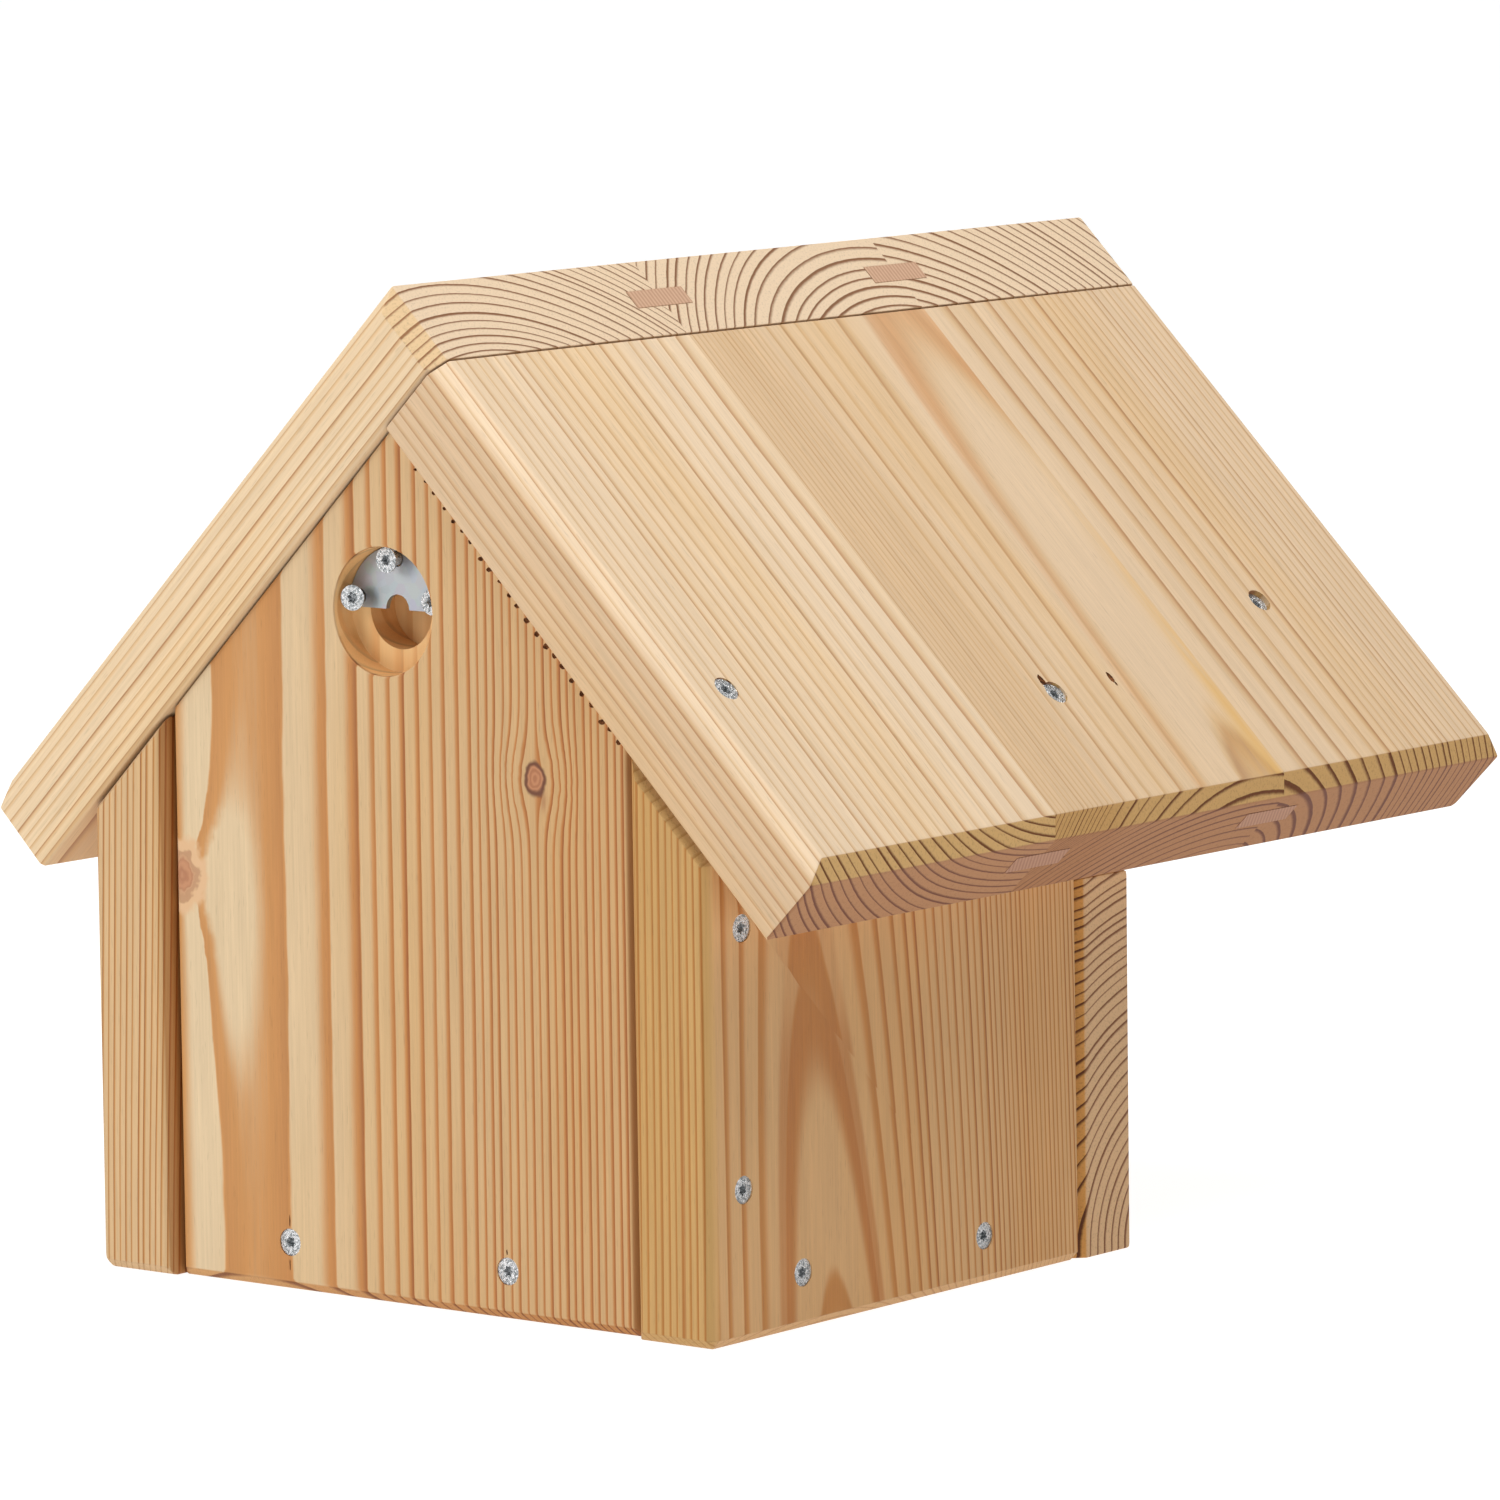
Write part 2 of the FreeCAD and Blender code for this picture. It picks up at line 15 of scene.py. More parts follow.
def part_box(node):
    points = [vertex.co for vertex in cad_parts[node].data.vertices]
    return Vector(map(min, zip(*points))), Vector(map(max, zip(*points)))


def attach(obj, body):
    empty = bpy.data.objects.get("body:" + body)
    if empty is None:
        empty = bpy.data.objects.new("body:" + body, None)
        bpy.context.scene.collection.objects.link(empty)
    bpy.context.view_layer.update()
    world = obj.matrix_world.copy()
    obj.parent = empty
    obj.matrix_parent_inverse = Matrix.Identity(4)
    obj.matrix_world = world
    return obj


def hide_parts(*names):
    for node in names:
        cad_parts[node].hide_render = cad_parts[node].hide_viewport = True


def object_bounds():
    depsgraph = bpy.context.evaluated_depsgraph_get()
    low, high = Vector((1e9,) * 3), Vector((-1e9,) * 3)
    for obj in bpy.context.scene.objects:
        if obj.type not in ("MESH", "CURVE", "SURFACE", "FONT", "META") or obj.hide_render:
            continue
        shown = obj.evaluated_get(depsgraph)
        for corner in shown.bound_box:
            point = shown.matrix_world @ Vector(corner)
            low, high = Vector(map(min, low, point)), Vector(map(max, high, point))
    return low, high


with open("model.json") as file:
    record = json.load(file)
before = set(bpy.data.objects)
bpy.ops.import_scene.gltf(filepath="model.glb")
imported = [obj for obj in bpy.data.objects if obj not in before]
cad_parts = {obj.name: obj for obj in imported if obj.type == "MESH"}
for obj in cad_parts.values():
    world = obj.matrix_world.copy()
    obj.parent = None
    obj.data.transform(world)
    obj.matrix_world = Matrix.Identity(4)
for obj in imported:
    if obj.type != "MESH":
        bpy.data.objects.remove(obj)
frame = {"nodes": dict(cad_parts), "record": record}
cad_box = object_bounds()

MM = 0.001
UP = Vector((0, 0, 1))
EAST = Vector((1, 0, 0))
NORTH = Vector((0, 1, 0))
RIGHT_SLOPE = Vector((1, 0, -1)).normalized()
LEFT_SLOPE = Vector((-1, 0, -1)).normalized()
INTO_RIGHT = Vector((-1, 0, -1)).normalized()
INTO_LEFT = Vector((1, 0, -1)).normalized()
HALF_ROOT = math.sqrt(0.5)
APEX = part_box("rear_wall")[1].z

# How the boards' edges are rounded, and which edges still break the smooth shading.
WALL_ROUNDING = 0.9 * MM
ROOF_ROUNDING = 0.6 * MM
SHARP_EDGE = math.radians(25)
SHADING_EDGE = math.radians(38)

# Open joints: rear wall to roof and to the side walls, other walls to roof, right roof half to left.
REAR_GAP = 0.43 * MM
SIDE_GAP = 0.6 * MM
SLOPE_GAP = 0.7 * MM
RIDGE_GAP = 0.5 * MM


# --- shader building ---------------------------------------------------------------------------

class Shader:
    """A material whose nodes are added by short calls that return their output socket."""

    def __init__(self, name):
        self.material = bpy.data.materials.new(name)
        self.material.use_nodes = True
        self.tree = self.material.node_tree
        self.surface = self.tree.nodes["Principled BSDF"]

    def put(self, socket, value):
        if isinstance(value, bpy.types.NodeSocket):
            self.tree.links.new(value, socket)
        elif value is not None:
            socket.default_value = value

    def node(self, kind, output, inputs, **settings):
        made = self.tree.nodes.new(kind)
        for key, value in settings.items():
            setattr(made, key, value)
        for key, value in inputs.items():
            self.put(made.inputs[key], value)
        return made.outputs[output]

    def math(self, operation, first, second=None, third=None, clamp=False):
        inputs = {0: first, 1: second, 2: third}
        return self.node("ShaderNodeMath", 0, inputs, operation=operation, use_clamp=clamp)

    def add(self, first, second):
        return self.math("ADD", first, second)

    def times(self, first, second):
        return self.math("MULTIPLY", first, second)

    def fade(self, value, low, high):
        """0 below low, 1 above high, smooth between."""
        inputs = {"Value": value, "From Min": low, "From Max": high}
        return self.node("ShaderNodeMapRange", 0, inputs, interpolation_type="SMOOTHSTEP")

    def dot(self, vector, axis):
        inputs = {0: vector, 1: tuple(axis)}
        return self.node("ShaderNodeVectorMath", "Value", inputs, operation="DOT_PRODUCT")

    def vector(self, x, y, z):
        return self.node("ShaderNodeCombineXYZ", 0, {0: x, 1: y, 2: z})

    def noise(self, vector, scale=1.0, detail=2.0, roughness=0.5):
        inputs = {"Vector": vector, "Scale": scale, "Detail": detail, "Roughness": roughness}
        return self.node("ShaderNodeTexNoise", 0, inputs)

    def line_noise(self, value, scale=1.0, detail=2.0):
        inputs = {"W": value, "Scale": scale, "Detail": detail}
        return self.node("ShaderNodeTexNoise", 0, inputs, noise_dimensions="1D")

    def blend(self, factor, first, second, mode="MIX"):
        mix = self.tree.nodes.new("ShaderNodeMix")
        mix.data_type = "RGBA"
        mix.blend_type = mode
        self.put(mix.inputs[0], factor)
        self.put(mix.inputs[6], first)
        self.put(mix.inputs[7], second)
        return mix.outputs[2]

    def bump(self, height, strength, distance):
        inputs = {"Height": height, "Strength": strength, "Distance": distance}
        self.put(self.surface.inputs["Normal"], self.node("ShaderNodeBump", 0, inputs))

    def scaled(self, vector):
        """Metres to millimetres."""
        inputs = {0: vector, "Scale": 1 / MM}
        return self.node("ShaderNodeVectorMath", 0, inputs, operation="SCALE")

    def place(self):
        return self.node("ShaderNodeTexCoord", "Object", {})

    def normal(self):
        return self.node("ShaderNodeTexCoord", "Normal", {})


def colour(red, green, blue):
    """A display colour from 0 to 255, as the linear colour that a shader takes."""
    def linear(part):
        part /= 255
        return part / 12.92 if part <= 0.04045 else ((part + 0.055) / 1.055) ** 2.4
    return (linear(red), linear(green), linear(blue), 1.0)


# --- larch -------------------------------------------------------------------------------------

# Early wood, the yellow wood before a ring's dark edge, that edge, and the same on a cut end.
TONES = {
    "roof_right": {
        "early": colour(222, 194, 160), "mid": colour(214, 181, 140), "late": colour(184, 138, 98),
        "end": colour(163, 116, 79), "end_late": colour(104, 58, 38),
        "cut": colour(200, 158, 100), "cut_late": colour(104, 56, 20)},
    "roof_left": {
        "early": colour(224, 197, 160), "mid": colour(216, 181, 136), "late": colour(172, 122, 80),
        "end": colour(229, 203, 171), "end_late": colour(136, 94, 64),
        "cut": colour(222, 190, 146), "cut_late": colour(150, 104, 66)},
    "rear": {
        "early": colour(216, 192, 155), "mid": colour(197, 142, 84), "late": colour(156, 96, 48),
        "end": colour(196, 152, 106), "end_late": colour(110, 66, 38),
        "cut": colour(196, 148, 96), "cut_late": colour(132, 82, 46)},
    "side": {
        "early": colour(208, 164, 113), "mid": colour(188, 127, 64), "late": colour(140, 76, 32),
        "end": colour(196, 156, 112), "end_late": colour(110, 66, 38),
        "cut": colour(203, 160, 112), "cut_late": colour(182, 135, 86)},
    "front": {
        "early": colour(209, 168, 121), "mid": colour(193, 134, 76), "late": colour(143, 80, 38),
        "end": colour(212, 173, 131), "end_late": colour(126, 80, 50),
        "cut": colour(207, 149, 80), "cut_late": colour(92, 48, 18)},
}


def bell(shader, along, across, spot):
    """1 at a spot on a board's face, falling smoothly to 0 a little outside its size."""
    up = shader.math("DIVIDE", shader.math("SUBTRACT", along, spot["at"][0]), spot["size"][0])
    over = shader.math("DIVIDE", shader.math("SUBTRACT", across, spot["at"][1]), spot["size"][1])
    square = shader.add(shader.times(up, up), shader.times(over, over))
    return shader.math("EXPONENT", shader.times(square, -1.0))


def pith_radius(shader, along, across, deep, cut, stretched):
    """Distance from the pith line in millimetres, bent by swells and round knots."""
    pith_across, pith_deep = cut["pith"]
    lean_across, lean_deep = cut.get("lean", (0.0, 0.0))
    from_pith = shader.math("SUBTRACT", across, pith_across)
    reach = shader.math("DIVIDE", from_pith, cut.get("lean_reach", 400.0))
    near = shader.math("DIVIDE", lean_across, shader.math("MULTIPLY_ADD", reach, reach, 1.0))
    side = shader.math("SUBTRACT", from_pith, shader.times(along, near))
    depth = shader.math("SUBTRACT", deep, shader.math("MULTIPLY_ADD", along, lean_deep, pith_deep))
    radius = shader.math("SQRT", shader.add(shader.times(side, side), shader.times(depth, depth)))
    wander = shader.math("SUBTRACT", shader.noise(stretched(0.006, 0.018), 1.0, 1.0), 0.5)
    radius = shader.math("MULTIPLY_ADD", wander, cut.get("wander", 2.0), radius)
    for swell in cut.get("swells", ()):
        radius = shader.math("MULTIPLY_ADD", bell(shader, along, across, swell), swell["by"], radius)
    for knot in cut.get("knots", ()):
        radius = shader.add(radius, knot_push(shader, along, across, knot))
    return radius


def ring_phase(shader, radius, growth):
    """Rings counted outwards. growth is (radius, ring width from there on), innermost first."""
    phase = None
    for index, (start, width) in enumerate(growth):
        span = shader.math("SUBTRACT", radius, start)
        if index > 0:
            span = shader.math("MAXIMUM", span, 0.0)
        if index + 1 < len(growth):
            span = shader.math("MINIMUM", span, growth[index + 1][0] - start)
        part = shader.math("DIVIDE", span, width)
        phase = part if phase is None else shader.add(phase, part)
    return phase


def knot_distance(shader, along, across, knot):
    """Distance from a knot's centre, drawn out along the grain and with a wavy outline."""
    up = shader.times(shader.math("SUBTRACT", along, knot["at"][0]), knot["squeeze"])
    over = shader.math("SUBTRACT", across, knot["at"][1])
    total = shader.math("SQRT", shader.add(shader.times(up, up), shader.times(over, over)))
    ripple = shader.noise(shader.vector(along, across, 0.0), 0.22, 2.0)
    ripple = shader.math("SUBTRACT", ripple, 0.5)
    return shader.math("MULTIPLY_ADD", ripple, knot["radius"] * 0.7, total), over


def knot_push(shader, along, across, knot):
    """Bends the rings round a knot."""
    distance, over = knot_distance(shader, along, across, knot)
    ratio = shader.math("DIVIDE", distance, knot["radius"] * knot["reach"])
    fall = shader.math("EXPONENT", shader.times(shader.times(ratio, ratio), -1.0))
    return shader.times(shader.times(over, -knot["push"]), fall)


def knot_colour(shader, along, across, knot, surface):
    """A brown heart with rings of its own, a pale collar round it and a thin bark line."""
    distance, _ = knot_distance(shader, along, across, knot)
    ratio = shader.math("DIVIDE", distance, knot["radius"])
    collar = shader.math("SUBTRACT", 1.0, shader.fade(ratio, 0.85, 1.15))
    surface = shader.blend(collar, surface, knot["collar"])
    edge = knot["heart"]
    heart = shader.math("SUBTRACT", 1.0, shader.fade(ratio, edge - 0.2, edge))
    wave = shader.math("SINE", shader.times(ratio, 16.0))
    inside = shader.blend(shader.math("MULTIPLY_ADD", wave, 0.3, 0.5), knot["pale"], knot["dark"])
    surface = shader.blend(heart, surface, inside)
    line = shader.math("ABSOLUTE", shader.math("SUBTRACT", ratio, edge))
    line = shader.math("SUBTRACT", 1.0, shader.fade(line, 0.03, knot["line"]))
    return shader.blend(shader.times(line, knot["outline"]), surface, knot["bark"])


def board_place(shader, node, axes):
    """A point's place along the grain, across it and into the wood, in millimetres from the middle."""
    low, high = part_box(node)
    centre = (low + high) / 2
    inputs = {0: shader.place(), 1: tuple(centre)}
    moved = shader.node("ShaderNodeVectorMath", 0, inputs, operation="SUBTRACT")
    moved = shader.scaled(moved)
    return [shader.dot(moved, axis) for axis in axes]


def inside_recess(shader, along, across, deep, recess):
    """1 on the freshly bored wood of a round recess, 0 on the board's face."""
    up = shader.math("SUBTRACT", along, recess["at"][0])
    over = shader.math("SUBTRACT", across, recess["at"][1])
    distance = shader.math("SQRT", shader.add(shader.times(up, up), shader.times(over, over)))
    near = shader.math("LESS_THAN", distance, recess["radius"])
    return shader.times(near, shader.fade(deep, -13.2, -12.4))


def larch(name, node, axes, cut, tone):
    """One board's material. axes are its grain, its width and the way into the wood."""
    shader = Shader(name)
    along, across, deep = board_place(shader, node, axes)

    def stretched(lengthwise, crosswise):
        """Noise coordinates that are drawn out along the grain."""
        return shader.vector(shader.times(along, lengthwise), shader.times(across, crosswise),
                             shader.times(deep, crosswise))

    radius = pith_radius(shader, along, across, deep, cut, stretched)
    phase = ring_phase(shader, radius, cut["growth"])
    uneven = shader.math("SUBTRACT", shader.line_noise(phase, 0.6, 1.0), 0.5)
    phase = shader.math("MULTIPLY_ADD", uneven, cut.get("uneven", 0.5), phase)
    ripple = shader.math("SUBTRACT", shader.noise(stretched(0.05, 0.35), 1.0, 3.0), 0.5)
    phase = shader.math("MULTIPLY_ADD", ripple, cut.get("ripple", 0.08), phase)

    fibre = shader.math("SUBTRACT", shader.noise(stretched(0.03, 1.5), 1.0, 3.0, 0.65), 0.5)
    coarse = shader.math("SUBTRACT", shader.noise(stretched(0.02, 0.3), 1.0, 3.0, 0.6), 0.5)
    cloud = shader.noise(stretched(0.005, 0.03), 1.0, 2.0)

    part = shader.math("FRACT", phase)
    ring = shader.math("FLOOR", phase)
    each = shader.node("ShaderNodeTexWhiteNoise", 0, {"W": ring}, noise_dimensions="1D")
    start = shader.math("MULTIPLY_ADD", each, 0.12, cut.get("late_start", 0.48))
    frayed = shader.math("MULTIPLY_ADD", fibre, 0.10, part)
    late_span = shader.math("SUBTRACT", 0.95, start)
    rise = shader.math("DIVIDE", shader.math("SUBTRACT", frayed, start), late_span)
    rise = shader.math("MULTIPLY", rise, 1.0, clamp=True)
    drop = shader.math("SUBTRACT", 1.0, shader.fade(part, cut.get("drop", 0.94), 1.0))
    weight = shader.math("MULTIPLY_ADD", each, -0.3, 1.0)
    late = shader.times(shader.times(rise, drop), weight)

    face = shader.blend(shader.fade(late, 0.0, 0.55), tone["early"], tone["mid"])
    edge = shader.fade(late, 0.45, 1.0)
    if "soft_rings" in cut:
        hard = shader.math("MULTIPLY_ADD", shader.fade(radius, *cut["soft_rings"]), 0.75, 0.25)
        edge = shader.times(edge, hard)
    face = shader.blend(edge, face, tone["late"])
    for streak in cut.get("streaks", ()):
        band = shader.math("SUBTRACT", 1.0, shader.fade(radius, *streak["stop"]))
        band = shader.times(band, shader.fade(radius, *streak["start"]))
        fainter = shader.fade(along, *streak["fainter"])
        band = shader.times(band, shader.math("MULTIPLY_ADD", fainter, -0.6, 1.0))
        face = shader.blend(shader.times(band, streak["amount"]), face, streak["colour"])
    yellowed = shader.blend(1.0, face, (0.99, 0.94, 0.84, 1), "MULTIPLY")
    face = shader.blend(shader.fade(cloud, 0.35, 0.7), face, yellowed)
    dashes = shader.fade(shader.noise(stretched(0.16, 2.4), 1.0, 1.0), 0.64, 0.76)
    shade = shader.math("MULTIPLY_ADD", coarse, 0.2, 1.0)
    shade = shader.math("MULTIPLY_ADD", fibre, 0.3, shade)
    shade = shader.math("MULTIPLY_ADD", dashes, -0.13, shade)
    face = shader.blend(1.0, face, shader.vector(shade, shade, shade), "MULTIPLY")

    pores = shader.noise(shader.vector(shader.times(along, 0.2), across, deep), 1.6, 3.0, 0.7)
    end_line = shader.fade(late, 0.2, 0.72)
    end = shader.blend(end_line, tone["end"], tone["end_late"])
    speck = shader.math("MULTIPLY_ADD", shader.fade(pores, 0.52, 0.66), -0.2, 1.0)
    end = shader.blend(1.0, end, shader.vector(speck, speck, speck), "MULTIPLY")

    facing = shader.math("ABSOLUTE", shader.dot(shader.normal(), axes[0]))
    is_end = shader.fade(facing, 0.3, 0.6)
    is_slanted = shader.times(is_end, shader.math("SUBTRACT", 1.0, shader.fade(facing, 0.78, 0.95)))
    slanted = shader.blend(end_line, tone["cut"], tone["cut_late"])
    slanted = shader.blend(1.0, slanted, shader.vector(speck, speck, speck), "MULTIPLY")
    surface = shader.blend(is_end, face, end)
    surface = shader.blend(is_slanted, surface, slanted)
    # Some tints are the wood's own tone; the rear wall's edge tints and the left side wall's inner
    # tint are painted shade.
    for tint in cut.get("tints", ()):
        amount = shader.fade(across if tint["by"] == "across" else deep, *tint["span"])
        surface = shader.blend(amount, surface, shader.blend(1.0, surface, tint["colour"], "MULTIPLY"))
    if "recess" in cut:
        fresh = shader.blend(1.0, surface, (1.5, 1.4, 1.25, 1), "MULTIPLY")
        fresh = shader.blend(0.6, fresh, colour(232, 190, 130))
        inside = inside_recess(shader, along, across, deep, cut["recess"])
        surface = shader.blend(inside, surface, fresh)
    for stain in cut.get("stains", ()):
        amount = shader.times(bell(shader, along, across, stain), shader.fade(coarse, -0.25, 0.1))
        amount = shader.times(amount, shader.math("SUBTRACT", 1.0, is_end))
        surface = shader.blend(shader.times(amount, stain["amount"]), surface, stain["colour"])
    for knot in cut.get("knots", ()):
        surface = knot_colour(shader, along, across, knot, surface)

    shader.put(shader.surface.inputs["Base Color"], surface)
    gloss = shader.math("MULTIPLY_ADD", late, -0.12, 0.6)
    shader.put(shader.surface.inputs["Roughness"], shader.math("MULTIPLY_ADD", is_end, 0.2, gloss))
    shader.surface.inputs["Specular IOR Level"].default_value = 0.3
    height = shader.math("MULTIPLY_ADD", late, 0.5, shader.times(fibre, 0.7))
    height = shader.math("MULTIPLY_ADD", shader.times(is_end, pores), 0.9, height)
    height = shader.math("MULTIPLY_ADD", shader.times(is_slanted, pores), 2.0, height)
    shader.bump(height, 0.4, 0.0002)
    return shader.material


# Knots, stains and swells lie at (along the grain, across it) in millimetres from the middle of the
# board. A streak colours some rings, given by their radius. A tint multiplies a strip of the board.
# The rear wall's two edge tints and the left side wall's inner tint below are painted shade in the
# joints.
BIG_KNOT = {
    "at": (-7.6, -78.6), "radius": 9.0, "push": 0.45, "reach": 1.4, "squeeze": 0.85,
    "heart": 0.6, "outline": 0.5, "line": 0.12, "collar": colour(216, 176, 134),
    "pale": colour(196, 142, 104), "dark": colour(168, 112, 80), "bark": colour(150, 96, 64)}
SMALL_KNOT = {
    "at": (28.0, 48.9), "radius": 3.4, "push": 0.7, "reach": 2.6, "squeeze": 0.8,
    "heart": 0.95, "outline": 0.9, "line": 0.3, "collar": colour(196, 140, 96),
    "pale": colour(190, 132, 92), "dark": colour(158, 100, 66), "bark": colour(92, 48, 32)}
RESIN = colour(222, 176, 104)
KNOT_TAIL = {"at": (22.5, 51.6), "size": (2.6, 1.1), "amount": 0.8, "colour": colour(146, 88, 54)}
JOINT_RESIN = {"at": (62.0, 51.5), "size": (60.0, 3.5), "amount": 0.75, "colour": RESIN}
RESIN_POOL = {"at": (84.0, 47.0), "size": (22.0, 9.0), "amount": 0.4, "colour": RESIN}
WARM_SIDE = {"by": "across", "span": (-100.0, 60.0), "colour": (0.82, 0.66, 0.49, 1)}
# Painted shade: darkens the rear wall's rounded right edge, which lies in the shadow of the right side
# wall.
REAR_RIGHT_EDGE_SHADE = {"by": "across", "span": (79.6, 80.6), "colour": (0.62, 0.46, 0.32, 1)}
# Painted shade: darkens the rear wall's rounded left edge in the shaded joint gap beside the left side
# wall.
REAR_LEFT_EDGE_SHADE = {"by": "across", "span": (-80.0, -81.4), "colour": (0.8, 0.66, 0.5, 1)}
WALL_REAR_EDGE = {"by": "across", "span": (-77.5, -80.0), "colour": (0.84, 0.84, 0.66, 1)}
PALE_REAR_EDGE = {"by": "across", "span": (-77.5, -80.0), "colour": (0.98, 1.1, 1.28, 1)}
# Painted shade: darkens the left side wall's inner face and rounded inner edge, which lie in shade in
# the joint and inside the box.
INNER_CHAMFER_SHADE = {"by": "deep", "span": (11.6, 12.2), "colour": (0.66, 0.5, 0.34, 1)}
PALE_STAVE = {"by": "across", "span": (-53.2, -51.0), "colour": (1.08, 1.12, 1.17, 1)}
CATHEDRAL = {"start": (100.6, 101.1), "stop": (101.8, 102.2), "amount": 0.65,
             "fainter": (-8.0, 18.0), "colour": colour(178, 112, 54)}
ROOF_STREAK = {"start": (110.8, 111.5), "stop": (112.0, 112.5), "amount": 0.75,
               "fainter": (-70.0, 0.0), "colour": colour(208, 158, 112)}
DENSE_STAVE = {"by": "across", "span": (-14.0, -30.0), "colour": (0.95, 0.91, 0.85, 1)}
GABLE_EDGE = {"by": "across", "span": (-51.0, -53.2), "colour": (0.89, 0.85, 0.80, 1)}

# How each board was sawn. pith is (across, into the wood) from its middle, growth is for ring_phase,
# lean tilts the pith line, and wander, uneven and ripple disturb the rings. late_start and drop are
# where in a ring its dark edge begins and ends, and soft_rings keeps that edge faint near the pith.
CUTS = {
    "rear_wall": {
        "pith": (-53.3, 46.5), "growth": ((61.5, 5.35), (72.2, 3.49), (100.1, 2.4)),
        "late_start": 0.42, "wander": 0.6, "uneven": 0.3, "soft_rings": (63.0, 74.0), "drop": 0.9,
        "knots": (BIG_KNOT, SMALL_KNOT), "stains": (KNOT_TAIL,),
        "swells": ({"at": (-20.0, -61.5), "size": (36.0, 8.0), "by": -2.4},),
        "tints": (WARM_SIDE, REAR_RIGHT_EDGE_SHADE, REAR_LEFT_EDGE_SHADE),
        "recess": {"at": (70.0, -4.0), "radius": 17.8}},
    "side_wall_right": {
        "pith": (-36.6, 87.5), "lean": (-0.12, 0.024), "lean_reach": 40.0, "wander": 0.5,
        "uneven": 0.35, "late_start": 0.42,
        "growth": ((85.0, 2.1), (97.9, 2.0), (101.9, 2.2), (108.0, 1.8), (128.0, 1.4)),
        "soft_rings": (102.5, 108.0), "drop": 0.88, "ripple": 0.03, "tints": (WALL_REAR_EDGE,),
        "streaks": (CATHEDRAL,)},
    "side_wall_left": {
        "pith": (-18.0, 84.0), "lean": (0.06, 0.015), "lean_reach": 50.0, "wander": 2.0,
        "growth": ((80.0, 1.7), (98.0, 1.8), (112.0, 1.7)), "ripple": 0.02,
        "tints": (PALE_REAR_EDGE, INNER_CHAMFER_SHADE)},
    "front_board": {"pith": (-51.5, 33.0), "growth": ((28.0, 3.2), (78.0, 2.7)), "wander": 3.0},
    "front_gable_board": {
        "pith": (-40.0, 45.0), "growth": ((40.0, 3.6), (80.0, 2.4)), "lean": (0.02, 0.02)},
    "floor_board": {
        "pith": (25.0, -60.0), "growth": ((40.0, 4.0), (90.0, 2.6)), "lean": (0.03, 0.02)},
    "roof_right_stave_1": {
        "pith": (67.0, -128.5), "growth": ((115.4, 1.85), (121.0, 2.4), (131.5, 2.75)),
        "wander": 1.5, "tints": (GABLE_EDGE, PALE_STAVE)},
    "roof_right_stave_2": {
        "pith": (41.0, 94.93), "lean": (0.02, -0.0187), "wander": 0.6, "uneven": 0.3,
        "late_start": 0.5, "growth": ((108.6, 3.5), (112.1, 2.8), (128.4, 1.3)),
        "drop": 0.88, "streaks": (ROOF_STREAK,), "tints": (DENSE_STAVE,),
        "stains": (JOINT_RESIN, RESIN_POOL)},
    "roof_right_stave_3": {
        "pith": (-62.5, 31.5), "growth": ((50.6, 5.3), (77.2, 3.1), (98.0, 2.8)), "wander": 1.5},
    "roof_left_stave_1": {
        "pith": (-33.5, 76.5), "growth": ((66.0, 2.7), (78.0, 3.5), (100.0, 2.6)), "wander": 2.0},
    "roof_left_stave_2": {
        "pith": (40.0, 66.5), "growth": ((67.0, 3.5), (72.0, 4.4), (85.0, 3.3)), "wander": 2.0},
    "roof_left_stave_3": {
        "pith": (-76.0, 76.5), "growth": ((84.0, 4.2), (112.0, 3.6)), "wander": 2.0},
}

WALL_AXES = {
    "rear_wall": (UP, EAST, NORTH),
    "side_wall_right": (UP, NORTH, -EAST),
    "side_wall_left": (UP, NORTH, EAST),
    "front_board": (EAST, UP, NORTH),
    "front_gable_board": (EAST, UP, NORTH),
    "floor_board": (NORTH, EAST, UP),
}
WALL_TONES = {"rear_wall": "rear", "side_wall_right": "side", "side_wall_left": "side",
              "front_board": "front", "front_gable_board": "front", "floor_board": "side"}


def tongue_material(name, pale, dark):
    """Pinkish strip wood with short diagonal rings."""
    shader = Shader(name)
    scaled = shader.scaled(shader.place())
    turned = shader.dot(scaled, Vector((0.35, 0.8, 0.35)).normalized())
    wave = shader.math("MULTIPLY_ADD", shader.math("SINE", shader.times(turned, 5.0)), 0.5, 0.5)
    grain = shader.noise(scaled, 0.9, 3.0, 0.6)
    base = shader.blend(shader.times(wave, 0.7), pale, dark)
    base = shader.blend(shader.times(grain, 0.4), base, dark)
    shader.put(shader.surface.inputs["Base Color"], base)
    shader.surface.inputs["Roughness"].default_value = 0.7
    shader.bump(grain, 0.3, 0.0002)
    return shader.material


def torn_and_shaded_material():
    """Rough wood inside chips and cracks, coloured dark: partly torn fibre, partly painted shade of
    the small hollows.
    """
    shader = Shader("torn_and_shaded_larch")
    scaled = shader.scaled(shader.place())
    grain = shader.noise(scaled, 1.6, 3.0, 0.6)
    # Painted shade in part: these dark browns darken the hollows beyond what their depth shades.
    base = shader.blend(shader.fade(grain, 0.35, 0.7), colour(86, 48, 22), colour(150, 92, 46))
    shader.put(shader.surface.inputs["Base Color"], base)
    shader.surface.inputs["Roughness"].default_value = 0.9
    shader.bump(grain, 0.6, 0.0003)
    return shader.material


def zinc_material():
    """Bright zinc plating, grainy, with rougher patches of darker base colour that are painted
    reflection of dark surroundings.
    """
    shader = Shader("zinc")
    scaled = shader.scaled(shader.place())
    reflection_patch = shader.noise(scaled, 1.6, 3.0, 0.6)
    fine = shader.noise(scaled, 3.0, 2.0, 0.7)
    # Painted reflection: the darker patches of base colour stand in for facets that mirror dark
    # surroundings.
    base = shader.blend(shader.fade(reflection_patch, 0.42, 0.6), colour(232, 234, 236), colour(140, 146, 148))
    shader.put(shader.surface.inputs["Base Color"], base)
    shader.surface.inputs["Metallic"].default_value = 0.7
    shader.put(shader.surface.inputs["Roughness"], shader.math("MULTIPLY_ADD", reflection_patch, 0.2, 0.18))
    shader.bump(fine, 0.9, 0.0004)
    return shader.material


